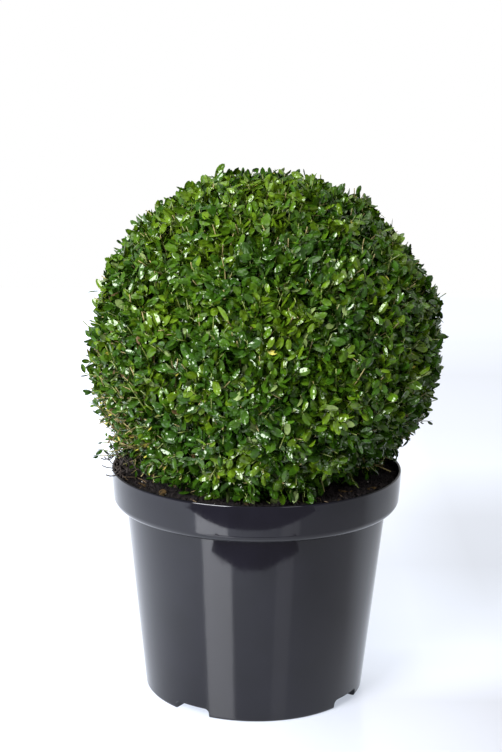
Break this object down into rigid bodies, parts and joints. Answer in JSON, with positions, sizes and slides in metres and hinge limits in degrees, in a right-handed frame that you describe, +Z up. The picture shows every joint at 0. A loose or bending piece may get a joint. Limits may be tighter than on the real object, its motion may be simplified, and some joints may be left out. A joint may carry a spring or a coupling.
{
  "type": "potted boxwood ball",
  "caption": "Evergreen shrub clipped to a dense round ball of small leaves, growing on a short stem in the soil of a tapered plastic nursery pot with a stepped collar and drained foot.",
  "frame": {"origin": "middle of the pot's flat underside, on the pot's own axis", "axes": "+Z up the pot's axis through soil and plant, -Y to the front as pictured, +X to the right"},
  "size_m": [0.3864, 0.3816, 0.578],
  "materials": {
    "pot": "satin",
    "soil": "matte",
    "bark": "matte",
    "foliage": "satin"
  },
  "bodies": {
    "root": {"pot": "pot", "soil": "soil", "stem": "bark", "foliage_ball": "foliage"}
  },
  "joints": []
}
